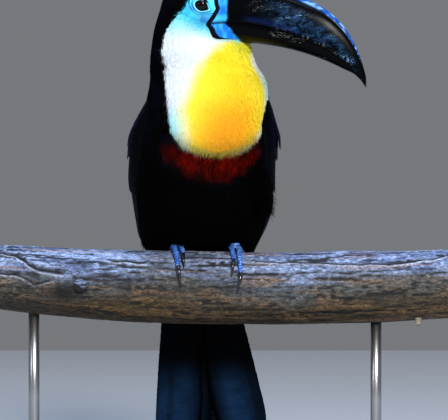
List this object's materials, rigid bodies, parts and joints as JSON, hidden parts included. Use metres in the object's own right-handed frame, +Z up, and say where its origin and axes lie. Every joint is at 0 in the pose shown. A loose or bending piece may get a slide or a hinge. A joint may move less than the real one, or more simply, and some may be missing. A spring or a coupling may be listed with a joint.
{
  "type": "channel-billed toucan on a branch perch, still museum model",
  "caption": "Life-size channel-billed toucan gripping a cut length of branch on a plain two-rod display stand; head turned to its left, no moving parts.",
  "frame": {"origin": "middle of the stand base's underside, on the surface the stand is set down on", "axes": "+Z up; -Y the way the bird's breast faces; +X towards the bird's left, where its bill points, along the branch"},
  "size_m": [0.358, 0.18, 0.379],
  "materials": {
    "black_plumage": "silky black feathers with a dull blue sheen",
    "bib_plumage": "hair-like bib feathers, white at the sides, yellow to orange in the middle",
    "red_plumage": "loose feathers, red over and under the tail",
    "bill_horn": "glossy black horn, pale blue at the base, with fine scratches",
    "eye": "wet, dark brown iris and black pupil",
    "foot_scales": "blue-grey horny scales",
    "claw_horn": "polished black horn",
    "branch_wood": "weathered grey-brown bare wood with cracks",
    "stand_black": "satin black lacquer",
    "stand_steel": "brushed"
  },
  "bodies": {
    "root": {"rump": "red_plumage", "trunk": "black_plumage", "neck": "bib_plumage", "head": "black_plumage", "bill_upper": "bill_horn", "bill_lower": "bill_horn", "eye_right": "eye", "eye_left": "eye", "wing_left": "black_plumage", "wing_right": "black_plumage", "tail": "black_plumage", "leg_left": "foot_scales", "leg_right": "foot_scales", "toe_left_third": "foot_scales", "claw_left_third": "claw_horn", "toe_left_second": "foot_scales", "claw_left_second": "claw_horn", "toe_left_fourth": "foot_scales", "claw_left_fourth": "claw_horn", "toe_left_first": "foot_scales", "claw_left_first": "claw_horn", "toe_right_third": "foot_scales", "claw_right_third": "claw_horn", "toe_right_second": "foot_scales", "claw_right_second": "claw_horn", "toe_right_fourth": "foot_scales", "claw_right_fourth": "claw_horn", "toe_right_first": "foot_scales", "claw_right_first": "claw_horn", "perch_branch": "branch_wood", "stand_base": "stand_black", "stand_rod_left": "stand_steel", "stand_rod_right": "stand_steel"}
  },
  "joints": []
}
